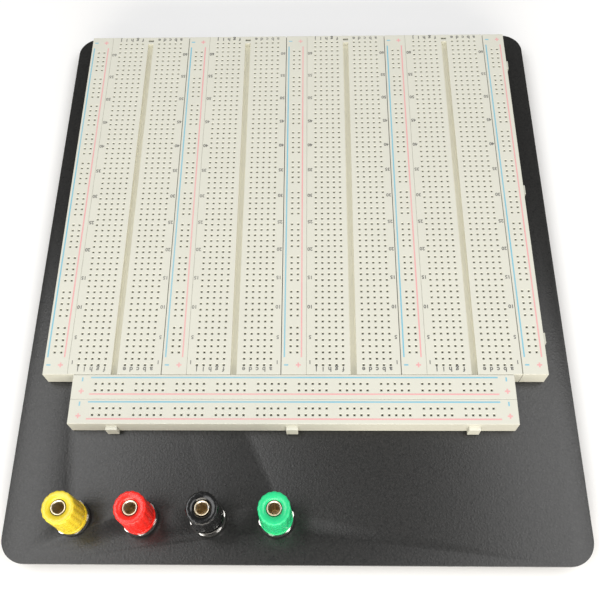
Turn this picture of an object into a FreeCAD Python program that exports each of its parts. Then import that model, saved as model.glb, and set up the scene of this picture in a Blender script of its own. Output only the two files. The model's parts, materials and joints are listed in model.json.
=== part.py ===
import FreeCAD, Part
import math
import os
import types

import Sketcher

# Solderless breadboard station, millimetres, +Z up.
# The origin is on the table, under the middle of the base plate. +Y points to the back of the board.

DRIVING_SIZES = [
    # base plate and feet
    ("plate_width", 209.0),
    ("plate_depth", 239.0),
    ("plate_thick", 1.5),
    ("plate_corner", 9.0),
    ("post_hole_radius", 4.0),
    ("foot_height", 8.0),
    ("foot_radius_low", 5.5),
    ("foot_radius_high", 7.0),
    ("foot_inset", 10.5),
    # contact grid and strips
    ("grid", 2.54),
    ("hole_side", 1.1),
    ("strip_length", 165.1),
    ("strip_height", 8.5),
    ("bus_width", 9.4),
    ("terminal_width", 35.4),
    ("terminal_rows", 63),
    ("terminal_half_gap", 3.81),
    ("cavity_height", 6.3),
    ("cavity_width", 1.9),
    ("cavity_margin", 0.95),
    ("channel_width", 2.4),
    ("channel_depth", 2.5),
    ("channel_stop", 4.0),
    ("end_slot_offset", 1.6),
    ("end_slot_depth", 1.2),
    ("foam_thick", 0.7),
    ("foam_inset", 0.5),
    ("key_spacing", 66.8),
    ("key_root", 4.1),
    ("key_tip", 4.4),
    ("key_reach", 1.45),
    ("key_top_drop", 2.9),
    ("key_play", 0.2),
    # spring contacts
    ("clip_sheet", 0.2),
    ("clip_width", 1.5),
    ("clip_height", 5.4),
    ("clip_end", 0.7),
    ("clip_floor_gap", 0.3),
    # where the strips lie
    ("module_pitch", 45.1),
    ("array_shift", -0.8),
    ("array_front", -53.0),
    ("terminal_shift", -0.1),
    ("front_shift", -1.3),
    ("front_gap", 0.15),
    ("front_pitch", 9.45),
    # binding posts
    ("post_first", -79.7),
    ("post_pitch", 24.35),
    ("post_front", -104.1),
    ("post_count", 4),
    ("stud_radius", 2.0),
    ("stud_below_plate", 6.0),
    ("collar_radius", 6.3),
    ("collar_thick", 1.6),
    ("boss_radius", 3.9),
    ("boss_thick", 0.7),
    ("stud_hole_radius", 2.1),
    ("flange_flats", 11.4),
    ("flange_corner", 6.3),
    ("flange_thick", 1.2),
    ("stem_radius", 2.5),
    ("stem_height", 17.4),
    ("socket_radius", 2.0),
    ("socket_depth", 14.0),
    ("socket_chamfer", 0.2),
    ("wire_hole_radius", 0.9),
    ("wire_hole_rise", 1.9),
    ("clamp_radius", 5.0),
    ("clamp_thick", 0.8),
    ("thread_play", 0.05),
    ("face_play", 0.02),
    ("insert_radius", 4.25),
    ("insert_length", 8.0),
    ("cap_foot_play", 0.1),
    ("cap_height", 17.8),
    ("cap_foot_radius", 5.95),
    ("cap_foot_height", 2.0),
    ("cap_neck_radius", 5.45),
    ("cap_neck_height", 0.5),
    ("cap_barrel_radius", 5.75),
    ("cap_top_radius", 5.65),
    ("cap_top_round", 0.6),
    ("cap_recess_radius", 5.15),
    ("cap_recess_depth", 0.9),
    ("cap_bore_radius", 2.8),
    ("cap_mouth_radius", 3.25),
    ("flute_count", 16),
    ("flute_radius", 0.8),
    ("flute_cut", 0.35),
    ("lower_insulator_radius", 6.0),
    ("lower_insulator_thick", 1.2),
    ("tag_thick", 0.5),
    ("tag_ring_radius", 4.0),
    ("tag_tail_width", 3.0),
    ("tag_tail_length", 10.0),
    ("tag_eye_radius", 0.8),
    ("lock_washer_radius", 3.6),
    ("lock_washer_thick", 0.8),
    ("lock_washer_slit", 0.7),
    ("nut_flats", 7.0),
    ("nut_thick", 3.0),
    ("nut_chamfer", 0.5),
    ("nut_bore_play", 0.02),
]

CLIP_HOLES = 5
BLOCK_ROWS = 7
BUS_GROUPS = 10
BUS_GROUP_STEP = 6
TERMINAL_STRIPS = 4
BUS_STRIPS = 5
KEY_PLACES = (-1, 0, 1)
POST_COLOURS = ("yellow", "red", "black", "green")
POST_TURNS = (0, -15, 15, 15)

doc = FreeCAD.newDocument("breadboard")


class Size:
    """A length with its value and the spreadsheet formula that it comes from."""

    def __init__(self, text, number):
        self.text = text
        self.number = number

    def combine(self, other, sign, number):
        return Size("(" + self.text + sign + as_size(other).text + ")", number)

    def __add__(self, other):
        return self.combine(other, " + ", self.number + as_size(other).number)

    def __sub__(self, other):
        return self.combine(other, " - ", self.number - as_size(other).number)

    def __mul__(self, other):
        return self.combine(other, " * ", self.number * as_size(other).number)

    def __truediv__(self, other):
        return self.combine(other, " / ", self.number / as_size(other).number)

    def __neg__(self):
        return self * -1

    def __rsub__(self, other):
        return as_size(other) - self


def as_size(value):
    return value if isinstance(value, Size) else Size(str(value), value)


def make_sheet():
    """Writes the driving sizes and returns them as named Size values."""
    sheet = doc.addObject("Spreadsheet::Sheet", "Dimensions")
    for row, (alias, value) in enumerate(DRIVING_SIZES, start=1):
        sheet.set(f"A{row}", alias)
        sheet.set(f"B{row}", str(value))
        sheet.setAlias(f"B{row}", alias)
    doc.recompute()
    return types.SimpleNamespace(
        **{alias: Size("Dimensions." + alias, float(sheet.get(alias))) for alias, value in DRIVING_SIZES}
    )


d = make_sheet()
PLATE_TOP = d.foot_height + d.plate_thick
STRIP_BASE = PLATE_TOP + d.foam_thick


def bind(item, **sizes):
    """Binds properties to the sheet; x, y and z are the placement's."""
    for name, value in sizes.items():
        path = "Placement.Base." + name if name in ("x", "y", "z") else name
        item.setExpression(path, as_size(value).text)
    return item


def primitive(kind, name, **sizes):
    return bind(doc.addObject("Part::" + kind, name), **sizes)


def cylinder(name, radius, height, z=0):
    return primitive("Cylinder", name, Radius=radius, Height=height, z=z)


def box(name, width, depth, height, x, y, z):
    return primitive("Box", name, Length=width, Width=depth, Height=height, x=x, y=y, z=z)


def hexagon(name, flats, height, z=0):
    prism = primitive("Prism", name, Circumradius=flats / math.sqrt(3), Height=height, z=z)
    prism.Polygon = 6
    return prism


def cut(name, base, tool):
    item = doc.addObject("Part::Cut", name)
    item.Base = base
    item.Tool = tool
    item.Refine = False
    return item


def fuse(name, shapes):
    item = doc.addObject("Part::MultiFuse", name)
    item.Shapes = shapes
    item.Refine = False
    return item


def common(name, shapes):
    item = doc.addObject("Part::MultiCommon", name)
    item.Shapes = shapes
    return item


def group(name, shapes):
    item = doc.addObject("Part::Compound", name)
    item.Links = shapes
    return item


def set_shape(name, shape):
    item = doc.addObject("Part::Feature", name)
    item.Shape = shape
    return item


nodes = []


def node(label, item):
    """Marks an object as a sub-part of the breadboard."""
    item.Label = label
    nodes.append(item)
    return item


def placed_copy(name, master, **place):
    return bind(group(name, [master]), **place)


def instance(label, master, turn=0, **place):
    """A placed copy of a master shape, as a sub-part of its own."""
    item = placed_copy(label, master, **place)
    item.Placement.Rotation = FreeCAD.Rotation(FreeCAD.Vector(0, 0, 1), turn)
    return node(label, item)


# ---------------------------------------------------------------- sketches


def origin_plane(body, role):
    return next(item for item in body.Origin.OriginFeatures if item.Role == role)


def new_sketch(body, name, role):
    sketch = body.newObject("Sketcher::SketchObject", name)
    sketch.AttachmentSupport = [(origin_plane(body, role), "")]
    sketch.MapMode = "FlatFace"
    return sketch


def pin(sketch, kind, geometry, point, size, axis):
    """Fixes one coordinate of a point to the sheet, or to the sketch's axis where it is zero."""
    size = as_size(size)
    if abs(size.number) < 1e-9:
        sketch.addConstraint(Sketcher.Constraint("PointOnObject", geometry, point, axis))
        return
    index = sketch.addConstraint(Sketcher.Constraint(kind, -1, 1, geometry, point, size.number))
    sketch.setExpression(f"Constraints[{index}]", size.text)


def outline(body, name, role, corners):
    """A closed polygon sketch whose corners are pairs of sizes."""
    sketch = new_sketch(body, name, role)
    points = [FreeCAD.Vector(as_size(x).number, as_size(y).number, 0) for x, y in corners]
    for start, end in zip(points, points[1:] + points[:1]):
        sketch.addGeometry(Part.LineSegment(start, end), False)
    count = len(points)
    for index in range(count):
        sketch.addConstraint(Sketcher.Constraint("Coincident", index, 2, (index + 1) % count, 1))
    for index, (x, y) in enumerate(corners):
        pin(sketch, "DistanceX", index, 1, x, -2)
        pin(sketch, "DistanceY", index, 1, y, -1)
    return sketch


def circle_sketch(body, name, role, x, y, radius):
    sketch = new_sketch(body, name, role)
    centre = FreeCAD.Vector(as_size(x).number, as_size(y).number, 0)
    sketch.addGeometry(Part.Circle(centre, FreeCAD.Vector(0, 0, 1), radius.number), False)
    pin(sketch, "DistanceX", 0, 3, x, -2)
    pin(sketch, "DistanceY", 0, 3, y, -1)
    index = sketch.addConstraint(Sketcher.Constraint("Radius", 0, radius.number))
    sketch.setExpression(f"Constraints[{index}]", radius.text)
    return sketch


def revolve(body, name, profile):
    feature = body.newObject("PartDesign::Revolution", name)
    feature.Profile = profile
    feature.ReferenceAxis = (profile, ["V_Axis"])
    feature.Angle = 360.0
    doc.recompute()
    return feature


def pocket_through(body, name, profile):
    feature = body.newObject("PartDesign::Pocket", name)
    feature.Profile = profile
    feature.Type = "ThroughAll"
    feature.Midplane = True
    doc.recompute()
    return feature


# ---------------------------------------------------------------- base plate and feet


def post_x(index):
    return d.post_first + d.post_pitch * index


def make_base_plate():
    """Sheet-metal plate with rounded corners and four insulated holes for the binding posts."""
    body = doc.addObject("PartDesign::Body", "base_plate")
    half_width = d.plate_width / 2
    half_depth = d.plate_depth / 2
    corners = [
        (-half_width, -half_depth),
        (half_width, -half_depth),
        (half_width, half_depth),
        (-half_width, half_depth),
    ]
    pad = body.newObject("PartDesign::Pad", "plate_blank")
    pad.Profile = outline(body, "plate_outline", "XY_Plane", corners)
    bind(pad, Length=d.plate_thick)
    doc.recompute()
    upright = [
        f"Edge{number}"
        for number, edge in enumerate(pad.Shape.Edges, start=1)
        if abs(edge.BoundBox.ZLength - d.plate_thick.number) < 1e-6
    ]
    rounded = body.newObject("PartDesign::Fillet", "plate_corners")
    rounded.Base = (pad, upright)
    bind(rounded, Radius=d.plate_corner)
    doc.recompute()
    hole_circle = circle_sketch(
        body, "post_hole_outline", "XY_Plane", post_x(0), d.post_front, d.post_hole_radius
    )
    hole = pocket_through(body, "post_hole", hole_circle)
    row = body.newObject("PartDesign::LinearPattern", "post_holes")
    row.Originals = [hole]
    row.Direction = (origin_plane(body, "X_Axis"), [""])
    row.Occurrences = int(d.post_count.number)
    bind(row, Length=d.post_pitch * (d.post_count - 1))
    body.Tip = row
    bind(body, z=d.foot_height)
    node("base_plate", body)


def make_feet():
    """Four self-adhesive rubber feet under the plate's corners."""
    feet = []
    for side in (-1, 1):
        for end in (-1, 1):
            feet.append(
                primitive(
                    "Cone",
                    "foot",
                    Radius1=d.foot_radius_low,
                    Radius2=d.foot_radius_high,
                    Height=d.foot_height,
                    x=(d.plate_width / 2 - d.foot_inset) * side,
                    y=(d.plate_depth / 2 - d.foot_inset) * end,
                )
            )
    node("rubber_feet", group("rubber_feet", feet))


# ---------------------------------------------------------------- breadboard strips
# A strip stands along Y with its middle on the Z axis and its underside at z = 0.


def rectangle(x_low, x_high, y_low, y_high):
    corners = [(x_low, y_low), (x_high, y_low), (x_high, y_high), (x_low, y_high), (x_low, y_low)]
    return Part.makePolygon([FreeCAD.Vector(x, y, 0) for x, y in corners])


def centred_rectangle(x, y, width, depth):
    return rectangle(x - width / 2, x + width / 2, y - depth / 2, y + depth / 2)


def row_places(rows):
    """Positions of a number of rows, centred on the middle."""
    return [(row - (rows - 1) / 2) * d.grid.number for row in range(rows)]


def bus_places():
    """Hole positions of a bus strip along its length: groups of five with one place left out."""
    count = (BUS_GROUPS - 1) * BUS_GROUP_STEP + CLIP_HOLES
    holes = [place for place in range(count) if place % BUS_GROUP_STEP < CLIP_HOLES]
    return [(place - (count - 1) / 2) * d.grid.number for place in holes]


def terminal_columns():
    """Hole columns of a terminal strip across its width, five on each side of the channel."""
    one_side = [d.terminal_half_gap.number + column * d.grid.number for column in range(CLIP_HOLES)]
    return [-x for x in reversed(one_side)] + one_side


def clip_middle():
    """Distance of a five-hole clip's middle from the channel's middle."""
    return d.terminal_half_gap.number + (CLIP_HOLES - 1) / 2 * d.grid.number


def bus_columns():
    return (-d.grid.number / 2, d.grid.number / 2)


def plan(name, width, length, openings):
    """The wires of a block: its outline and the loops that stay open."""
    edge = centred_rectangle(0, 0, width.number, length.number)
    return set_shape(name, Part.makeCompound([edge] + openings))


def extrude(name, base, height, z=0):
    """A block of the base's outline with its inner loops left open."""
    item = doc.addObject("Part::Extrusion", name)
    item.Base = base
    item.DirMode = "Custom"
    item.Dir = FreeCAD.Vector(0, 0, 1)
    item.Solid = True
    item.FaceMakerClass = "Part::FaceMakerBullseye"
    return bind(item, LengthFwd=height, z=z)


def dovetails(name, side_x, play):
    """The three dovetail prisms on a long side: keys with no play, or the seats that take them."""
    height = d.strip_height - d.key_top_drop + play
    root_half = d.key_root.number / 2 + play
    tip_half = d.key_tip.number / 2 + play
    reach = d.key_reach.number + play
    prisms = []
    for place in KEY_PLACES:
        y = place * d.key_spacing.number
        corners = [(0, -root_half), (reach, -tip_half), (reach, tip_half), (0, root_half), (0, -root_half)]
        points = [FreeCAD.Vector(side_x + x, y + y_corner, 0) for x, y_corner in corners]
        prisms.append(extrude(name, set_shape(name + "_outline", Part.makePolygon(points)), height))
    return prisms


def make_block(name, width, length, cavities, holes):
    """A stretch of strip: contact cavities from below and square wire holes from above."""
    lower = extrude(name + "_lower", plan(name + "_cavity_plan", width, length, cavities), d.cavity_height)
    upper_plan = plan(name + "_hole_plan", width, length, holes)
    upper = extrude(name + "_upper", upper_plan, d.strip_height - d.cavity_height, d.cavity_height)
    return [lower, upper]


def add_keys(name, blocks, width):
    """Joins a strip's blocks, with dovetail keys on one long side and seats for them on the other."""
    keys = dovetails(name + "_key", width.number / 2, 0)
    seats = dovetails(name + "_seat", -width.number / 2, d.key_play.number)
    return cut(name + "_keyed", fuse(name + "_whole", blocks + keys), group(name + "_seats", seats))


def make_terminal_housing():
    """Nine equal blocks of rows between two plain ends, with the channel along the middle."""
    rows = row_places(BLOCK_ROWS)
    cavity_length = (CLIP_HOLES - 1) * d.grid.number + 2 * d.cavity_margin.number
    cavities = [
        centred_rectangle(side * clip_middle(), y, cavity_length, d.cavity_width.number)
        for side in (-1, 1)
        for y in rows
    ]
    side = d.hole_side.number
    holes = [centred_rectangle(x, y, side, side) for x in terminal_columns() for y in rows]
    block_length = d.grid * BLOCK_ROWS
    block = fuse("row_block", make_block("terminal", d.terminal_width, block_length, cavities, holes))
    count = int(d.terminal_rows.number) // BLOCK_ROWS
    blocks = []
    for index in range(count):
        blocks.append(placed_copy("row_block_copy", block, y=block_length * (index - (count - 1) / 2)))
    end_length = (d.strip_length - block_length * count) / 2
    for y in (-d.strip_length / 2, d.strip_length / 2 - end_length):
        end_x = -d.terminal_width / 2
        blocks.append(box("plain_end", d.terminal_width, end_length, d.strip_height, end_x, y, 0))
    housing = add_keys("terminal", blocks, d.terminal_width)
    channel = box(
        "channel",
        d.channel_width,
        d.strip_length - d.channel_stop,
        d.channel_depth,
        -d.channel_width / 2,
        -d.strip_length / 2,
        d.strip_height - d.channel_depth,
    )
    slot_y = d.strip_length / 2 - d.end_slot_offset - d.end_slot_depth
    slot = box(
        "end_slot", d.channel_width, d.end_slot_depth, d.strip_height, -d.channel_width / 2, slot_y, 0
    )
    return cut("terminal_housing", housing, group("channel_and_slot", [channel, slot]))


def make_bus_housing():
    rail_length = bus_places()[-1] * 2 + 2 * d.cavity_margin.number
    cavities = [centred_rectangle(x, 0, d.cavity_width.number, rail_length) for x in bus_columns()]
    side = d.hole_side.number
    holes = [centred_rectangle(x, y, side, side) for x in bus_columns() for y in bus_places()]
    blocks = make_block("bus", d.bus_width, d.strip_length, cavities, holes)
    return add_keys("bus", blocks, d.bus_width)


def trough(length):
    """A folded spring-metal trough, open at the top, that lies along X."""
    half = d.clip_width.number / 2
    sheet = d.clip_sheet.number
    low = d.clip_floor_gap.number
    high = low + d.clip_height.number
    inner = half - sheet
    corners = [
        (-half, high), (-half, low), (half, low), (half, high),
        (inner, high), (inner, low + sheet), (-inner, low + sheet), (-inner, high), (-half, high),
    ]
    section = Part.makePolygon([FreeCAD.Vector(-length / 2, y, z) for y, z in corners])
    return Part.Face(section).extrude(FreeCAD.Vector(length, 0, 0))


def placed(shape, x, y, turn=0):
    copy = shape.copy()
    rotation = FreeCAD.Rotation(FreeCAD.Vector(0, 0, 1), turn)
    copy.Placement = FreeCAD.Placement(FreeCAD.Vector(x, y, 0), rotation)
    return copy


def make_terminal_contacts():
    """One five-hole spring clip for each row on each side of the channel."""
    clip = trough((CLIP_HOLES - 1) * d.grid.number + 2 * d.clip_end.number)
    rows = row_places(int(d.terminal_rows.number))
    clips = [placed(clip, side * clip_middle(), y) for side in (-1, 1) for y in rows]
    return set_shape("terminal_contact_set", Part.makeCompound(clips))


def make_bus_contacts():
    """Two rails that each join a whole column of holes."""
    rail = trough(bus_places()[-1] * 2 + 2 * d.clip_end.number)
    return set_shape("bus_contact_set", Part.makeCompound([placed(rail, x, 0, 90) for x in bus_columns()]))


def make_foam(name, width):
    """Adhesive foam that closes the underside and holds the strip on the plate."""
    foam_width = width - d.foam_inset * 2
    foam_length = d.strip_length - d.foam_inset * 2
    return box(name, foam_width, foam_length, d.foam_thick, -foam_width / 2, -foam_length / 2, 0)


def place_strip(prefix, suffix, masters, turn, x, y):
    """One strip: its housing, contacts and foam, each a sub-part."""
    housing, contacts, foam = masters
    instance(f"{prefix}_strip_{suffix}", housing, turn, x=x, y=y, z=STRIP_BASE)
    instance(f"{prefix}_contacts_{suffix}", contacts, turn, x=x, y=y, z=STRIP_BASE)
    instance(f"{prefix}_foam_{suffix}", foam, turn, x=x, y=y, z=PLATE_TOP)


def make_strips():
    """Four terminal strips between five bus strips, with two more bus strips across the front."""
    terminal_foam = make_foam("terminal_foam", d.terminal_width)
    terminal = (make_terminal_housing(), make_terminal_contacts(), terminal_foam)
    bus = (make_bus_housing(), make_bus_contacts(), make_foam("bus_foam", d.bus_width))
    middle_y = d.array_front + d.strip_length / 2
    for index in range(TERMINAL_STRIPS):
        x = d.array_shift + d.terminal_shift + d.module_pitch * (index - (TERMINAL_STRIPS - 1) / 2)
        place_strip("terminal", index + 1, terminal, 0, x, middle_y)
    for index in range(BUS_STRIPS):
        x = d.array_shift + d.module_pitch * (index - (BUS_STRIPS - 1) / 2)
        place_strip("bus", index + 1, bus, 0, x, middle_y)
    for index, name in enumerate(("rear", "front")):
        y = d.array_front - d.front_gap - d.bus_width / 2 - d.front_pitch * index
        place_strip("cross_bus", name, bus, -90, d.front_shift, y)


# ---------------------------------------------------------------- binding posts
# A post stands on the Z axis with the top of the base plate at z = 0.


def make_post_body():
    """Stud, hexagonal flange and stem with a socket for a 4 mm plug and a cross hole for bare wire."""
    flange_top = d.collar_thick + d.flange_thick
    stem_top = flange_top + d.stem_height
    stud_end = -(d.plate_thick + d.stud_below_plate)
    stud = cylinder("stud", d.stud_radius, flange_top - stud_end, stud_end)
    flange_prism = hexagon("flange_prism", d.flange_flats, d.flange_thick, d.collar_thick)
    flange_round = cylinder("flange_round", d.flange_corner, d.flange_thick, d.collar_thick)
    flange = common("flange", [flange_prism, flange_round])
    stem = cylinder("stem", d.stem_radius, d.stem_height, flange_top)
    socket = cylinder("socket", d.socket_radius, d.socket_depth, stem_top - d.socket_depth)
    mouth = primitive(
        "Cone",
        "socket_mouth",
        Radius1=d.socket_radius,
        Radius2=d.socket_radius + d.socket_chamfer,
        Height=d.socket_chamfer,
        z=stem_top - d.socket_chamfer,
    )
    wire_hole = cylinder("wire_hole", d.wire_hole_radius, d.stem_radius * 3, flange_top + d.wire_hole_rise)
    wire_hole.Placement.Rotation = FreeCAD.Rotation(FreeCAD.Vector(0, 1, 0), 90)
    bind(wire_hole, x=d.stem_radius * -1.5)
    openings = group("post_openings", [socket, mouth, wire_hole])
    return cut("post_body", fuse("post_blank", [stud, flange, stem]), openings)


def bossed_washer(name, radius, thickness, boss_z, ring_z):
    """An insulating washer with a boss that centres it in the plate's hole."""
    ring = cylinder(name + "_ring", radius, thickness, ring_z)
    boss = cylinder(name + "_boss", d.boss_radius, d.boss_thick, boss_z)
    bore = cylinder(name + "_bore", d.stud_hole_radius, thickness + d.boss_thick * 2, ring_z - d.boss_thick)
    return cut(name, fuse(name + "_blank", [ring, boss]), bore)


def make_clamp_washer():
    """Loose washer between the flange and the cap that presses on a wire."""
    ring = cylinder("clamp_ring", d.clamp_radius, d.clamp_thick)
    bore = cylinder("clamp_bore", d.stem_radius + d.thread_play, d.clamp_thick)
    return cut("clamp_washer", ring, bore)


def make_cap_insert():
    """Threaded metal sleeve inside the cap."""
    sleeve = cylinder("insert_sleeve", d.insert_radius, d.insert_length)
    bore = cylinder("insert_bore", d.stem_radius + d.thread_play, d.insert_length)
    return cut("cap_insert", sleeve, bore)


def insert_base():
    """Underside of the insert above the cap's foot."""
    return d.clamp_thick + d.face_play - d.cap_foot_play


def make_cap():
    """Fluted plastic cap with a plain foot band, a seat for its insert and a bore for the plug."""
    body = doc.addObject("PartDesign::Body", "cap")
    neck_top = d.cap_foot_height + d.cap_neck_height
    insert_top = insert_base() + d.insert_length
    profile = outline(
        body,
        "cap_profile",
        "XZ_Plane",
        [
            (d.cap_recess_radius, 0),
            (d.cap_foot_radius, 0),
            (d.cap_foot_radius, d.cap_foot_height),
            (d.cap_neck_radius, d.cap_foot_height),
            (d.cap_neck_radius, neck_top),
            (d.cap_barrel_radius, neck_top),
            (d.cap_top_radius, d.cap_height - d.cap_top_round),
            (d.cap_top_radius - d.cap_top_round, d.cap_height),
            (d.cap_mouth_radius, d.cap_height),
            (d.cap_bore_radius, d.cap_height - d.cap_top_round),
            (d.cap_bore_radius, insert_top),
            (d.insert_radius, insert_top),
            (d.insert_radius, d.cap_recess_depth),
            (d.cap_recess_radius, d.cap_recess_depth),
        ],
    )
    plain = revolve(body, "cap_turned", profile)
    flute_x = d.cap_barrel_radius + d.flute_radius - d.flute_cut
    flute = circle_sketch(body, "flute_outline", "XY_Plane", flute_x, 0, d.flute_radius)
    flute.setExpression("AttachmentOffset.Base.z", neck_top.text)
    pocket = body.newObject("PartDesign::Pocket", "flute")
    pocket.Profile = flute
    pocket.Type = "ThroughAll"
    pocket.Reversed = True
    doc.recompute()
    pattern = body.newObject("PartDesign::PolarPattern", "flutes")
    pattern.Originals = [pocket]
    pattern.Axis = (origin_plane(body, "Z_Axis"), [""])
    pattern.Angle = 360.0
    pattern.Occurrences = int(d.flute_count.number)
    body.Tip = pattern
    doc.recompute()
    if body.Shape.Volume > plain.Shape.Volume - 1:
        raise RuntimeError("the flutes cut nothing from the cap")
    return body


def make_solder_tag():
    """Ring terminal with a tail and an eye for a soldered wire, under the plate."""
    ring = cylinder("tag_ring", d.tag_ring_radius, d.tag_thick)
    tail = box(
        "tag_tail", d.tag_tail_width, d.tag_tail_length, d.tag_thick, -d.tag_tail_width / 2, 0, 0
    )
    bore = cylinder("tag_bore", d.stud_hole_radius, d.tag_thick)
    eye = bind(
        cylinder("tag_eye", d.tag_eye_radius, d.tag_thick),
        y=d.tag_tail_length - d.tag_tail_width / 2,
    )
    return cut("solder_tag", fuse("tag_blank", [ring, tail]), group("tag_holes", [bore, eye]))


def make_lock_washer():
    """Split spring washer."""
    ring = cylinder("lock_ring", d.lock_washer_radius, d.lock_washer_thick)
    bore = cylinder("lock_bore", d.stud_hole_radius, d.lock_washer_thick)
    slit = box(
        "lock_slit",
        d.lock_washer_slit,
        d.lock_washer_radius,
        d.lock_washer_thick,
        -d.lock_washer_slit / 2,
        -d.lock_washer_radius,
        0,
    )
    return cut("lock_washer", ring, group("lock_openings", [bore, slit]))


def make_nut():
    """Hexagonal nut with chamfered corners."""
    prism = hexagon("nut_prism", d.nut_flats, d.nut_thick)
    round_blank = cylinder("nut_round", d.nut_flats / math.sqrt(3), d.nut_thick)
    doc.recompute()
    chamfered = doc.addObject("Part::Chamfer", "nut_chamfered")
    chamfered.Base = round_blank
    rims = [
        number
        for number, edge in enumerate(round_blank.Shape.Edges, start=1)
        if len(edge.Vertexes) == 1
    ]
    chamfered.Edges = [(rim, d.nut_chamfer.number, d.nut_chamfer.number) for rim in rims]
    bore = cylinder("nut_bore", d.stud_radius + d.nut_bore_play, d.nut_thick)
    return cut("nut", common("nut_blank", [prism, chamfered]), bore)


def place_fasteners(label, master, z):
    """The same small piece under every post, kept together as one sub-part."""
    pieces = []
    for index in range(int(d.post_count.number)):
        pieces.append(placed_copy(master.Name + "_piece", master, x=post_x(index), y=d.post_front, z=z))
    node(label, group(label, pieces))


def make_posts():
    """Four binding posts in a row, each clamped through the plate between insulating washers."""
    collar = bossed_washer("collar", d.collar_radius, d.collar_thick, -d.boss_thick, 0)
    flange_top = PLATE_TOP + d.collar_thick + d.flange_thick
    cap_foot = flange_top + d.cap_foot_play
    heights = {
        "collar": (collar, PLATE_TOP),
        "body": (make_post_body(), PLATE_TOP),
        "clamp_washer": (make_clamp_washer(), flange_top),
        "insert": (make_cap_insert(), cap_foot + insert_base()),
        "cap": (make_cap(), cap_foot),
    }
    for index, (colour, turn) in enumerate(zip(POST_COLOURS, POST_TURNS)):
        for piece, (master, z) in heights.items():
            instance(f"{colour}_post_{piece}", master, turn, x=post_x(index), y=d.post_front, z=z)

    insulator = bossed_washer(
        "insulator", d.lower_insulator_radius, d.lower_insulator_thick, d.lower_insulator_thick, 0
    )
    level = d.foot_height - d.lower_insulator_thick
    place_fasteners("lower_insulators", insulator, level)
    level = level - d.tag_thick
    place_fasteners("solder_tags", make_solder_tag(), level)
    level = level - d.lock_washer_thick
    place_fasteners("lock_washers", make_lock_washer(), level)
    level = level - d.nut_thick
    place_fasteners("post_nuts", make_nut(), level)


# ---------------------------------------------------------------- build, check and write


def check_document():
    for item in doc.Objects:
        if "Invalid" in item.State or "Error" in item.State:
            raise RuntimeError(f"{item.Label} did not recompute: {item.State}")
    for item in nodes:
        if item.Shape.isNull() or not item.Shape.isValid():
            raise RuntimeError(f"{item.Label} has no valid shape")
        if not item.Shape.Solids:
            raise RuntimeError(f"{item.Label} has no solid")


def write_parts():
    os.makedirs("parts", exist_ok=True)
    for item in nodes:
        item.Shape.exportStep(f"parts/{item.Label}.step")


make_base_plate()
make_feet()
make_strips()
make_posts()
doc.recompute()
check_document()
write_parts()
print(f"{len(nodes)} sub-parts written")
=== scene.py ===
import json
import math

import bmesh
import bpy
import numpy as np
from mathutils import Matrix, Vector


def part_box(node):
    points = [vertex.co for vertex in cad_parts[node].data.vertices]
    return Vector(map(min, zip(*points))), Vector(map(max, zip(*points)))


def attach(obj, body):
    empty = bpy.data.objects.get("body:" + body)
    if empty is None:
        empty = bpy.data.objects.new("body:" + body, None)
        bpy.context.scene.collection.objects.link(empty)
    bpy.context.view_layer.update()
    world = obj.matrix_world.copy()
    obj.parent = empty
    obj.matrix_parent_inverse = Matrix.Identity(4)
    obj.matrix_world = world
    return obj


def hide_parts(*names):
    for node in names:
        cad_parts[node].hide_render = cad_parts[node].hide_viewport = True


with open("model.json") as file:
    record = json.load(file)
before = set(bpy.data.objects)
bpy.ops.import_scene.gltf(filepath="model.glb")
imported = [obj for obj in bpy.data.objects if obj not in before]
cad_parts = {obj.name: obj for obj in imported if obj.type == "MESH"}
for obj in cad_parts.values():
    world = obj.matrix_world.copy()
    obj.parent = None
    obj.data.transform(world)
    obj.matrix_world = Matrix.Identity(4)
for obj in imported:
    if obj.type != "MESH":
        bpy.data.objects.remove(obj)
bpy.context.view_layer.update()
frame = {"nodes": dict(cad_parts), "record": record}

# Solderless breadboard station. Blender works in metres, in the CAD frame; the sizes below are in
# millimetres, and MM turns them into metres.
MM = 0.001
BODY = "station"
POST_COLOURS = ("yellow", "red", "black", "green")
# How far each cap's flutes are turned on its post, radians.
CAP_TURNS = {"yellow": 0.0, "red": 0.12, "black": 0.29, "green": 0.2}

# Strips: the sizes that they share with the CAD model.
GRID = 2.54
STRIP_LENGTH = 165.1
STRIP_HEIGHT = 8.5
BUS_WIDTH = 9.4
TERMINAL_WIDTH = 35.4
TERMINAL_ROWS = 63
HALF_GAP = 3.81
CLIP_HOLES = 5
BUS_GROUPS = 10
GROUP_STEP = 6
CAVITY_HEIGHT = 6.3
CAVITY_WIDTH = 1.9
CAVITY_MARGIN = 0.95
CHANNEL_WIDTH = 2.4
CHANNEL_DEPTH = 2.5
CHANNEL_STOP = 4.0
END_SLOT_OFFSET = 1.6
END_SLOT_DEPTH = 1.2
KEY_SPACING = 66.8
KEY_ROOT = 4.1
KEY_TIP = 4.4
KEY_REACH = 1.45
KEY_TOP_DROP = 2.9
KEY_PLAY = 0.2

# Strips: the throat and the lead-in of a wire hole and the rounded top edge, which are finer than in
# the CAD model. EDGE_LEVEL is how far below the top the edge has one more line of corners.
HOLE = 0.78
HOLE_LEAD = 0.16
EDGE_ROUND = 0.16
EDGE_LEVEL = 0.06
# How far the tools for keys and seats reach back through the side, and the bevel of a key.
KEY_BACK = 0.3
SEAT_BACK = 1.0
KEY_BEVEL = 0.15

# Slack for telling which faces or corners lie on a given plane.
SLACK = 0.01
FINE_SLACK = 0.001

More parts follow.
